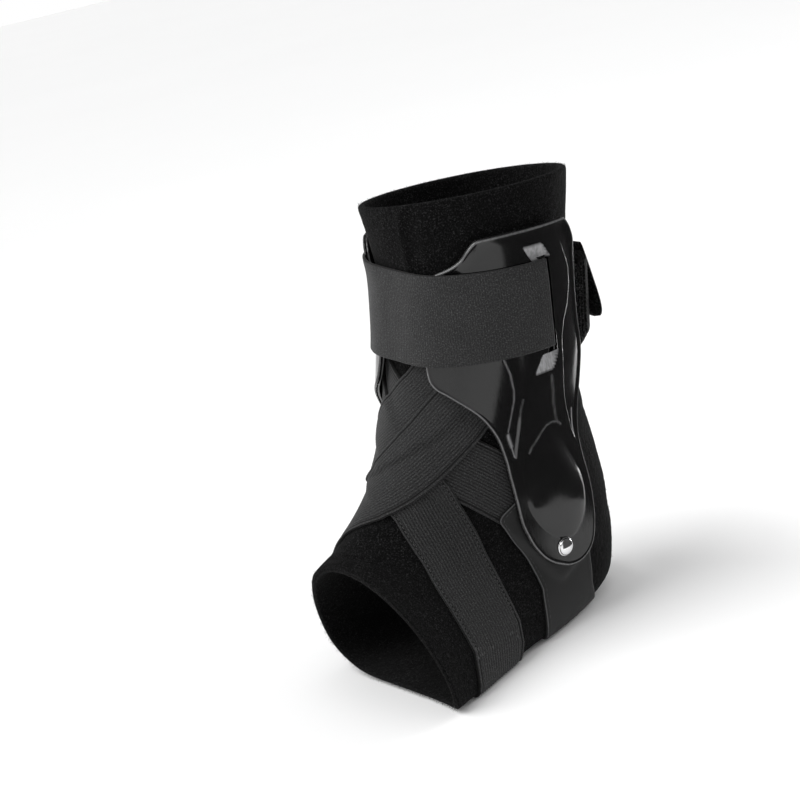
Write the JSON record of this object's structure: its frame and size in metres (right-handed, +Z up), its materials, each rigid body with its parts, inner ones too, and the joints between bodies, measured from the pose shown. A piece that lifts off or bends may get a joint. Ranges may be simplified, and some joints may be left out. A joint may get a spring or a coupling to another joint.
{
  "type": "ankle compression sleeve",
  "caption": "Boot-shaped ankle support: a thick soft sleeve open at leg, toes and heel, with elastic straps crossed over the instep, hard side shells and a wide strap round the leg.",
  "frame": {"origin": "on the flat underside of the patch below the heel, in the middle of the sole, where the support stands on the ground", "axes": "+X towards the outer side of a left ankle, -Y towards the toes, +Z up the leg"},
  "size_m": [0.1124, 0.1608, 0.2183],
  "materials": {
    "fleece": "thick napped fleece, near black, matt",
    "elastic": "woven ribbed elastic, charcoal, matt",
    "patch": "smooth coated fabric, dark grey, faint sheen",
    "shell": "moulded plastic, near black, glossy",
    "hook": "hook tape, black, finely bristled",
    "rivet": "polished bright metal"
  },
  "bodies": {
    "root": {"sleeve": "fleece", "inner_cross_strap": "elastic", "outer_cross_strap": "elastic", "stirrup_patch": "patch", "upper_strap": "elastic", "closure_tab": "hook", "lateral_shell": "shell", "medial_shell": "shell", "lateral_rivet": "rivet", "medial_rivet": "rivet"}
  },
  "joints": []
}
